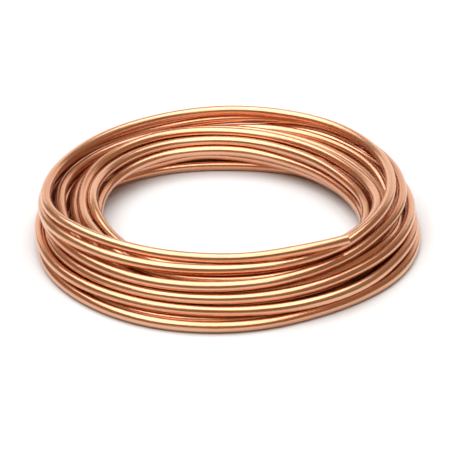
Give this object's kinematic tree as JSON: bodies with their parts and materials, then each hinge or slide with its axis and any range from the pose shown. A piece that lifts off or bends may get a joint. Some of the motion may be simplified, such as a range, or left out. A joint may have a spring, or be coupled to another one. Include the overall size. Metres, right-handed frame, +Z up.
{
  "type": "copper tube coil",
  "caption": "Flat ring-shaped coil of soft copper tube, wound in stacked turns around a wide open bore, with its hollow cut end lying free on top.",
  "frame": {"origin": "on the coil's axis, at the floor that the lowest turns rest on", "axes": "+Z up along the coil's axis; +X to the right and -Y towards the viewer of the free end"},
  "size_m": [0.35, 0.35, 0.0499],
  "materials": {
    "copper": "bright drawn copper, satin"
  },
  "bodies": {
    "root": {"tube_coil": "copper"}
  },
  "joints": []
}
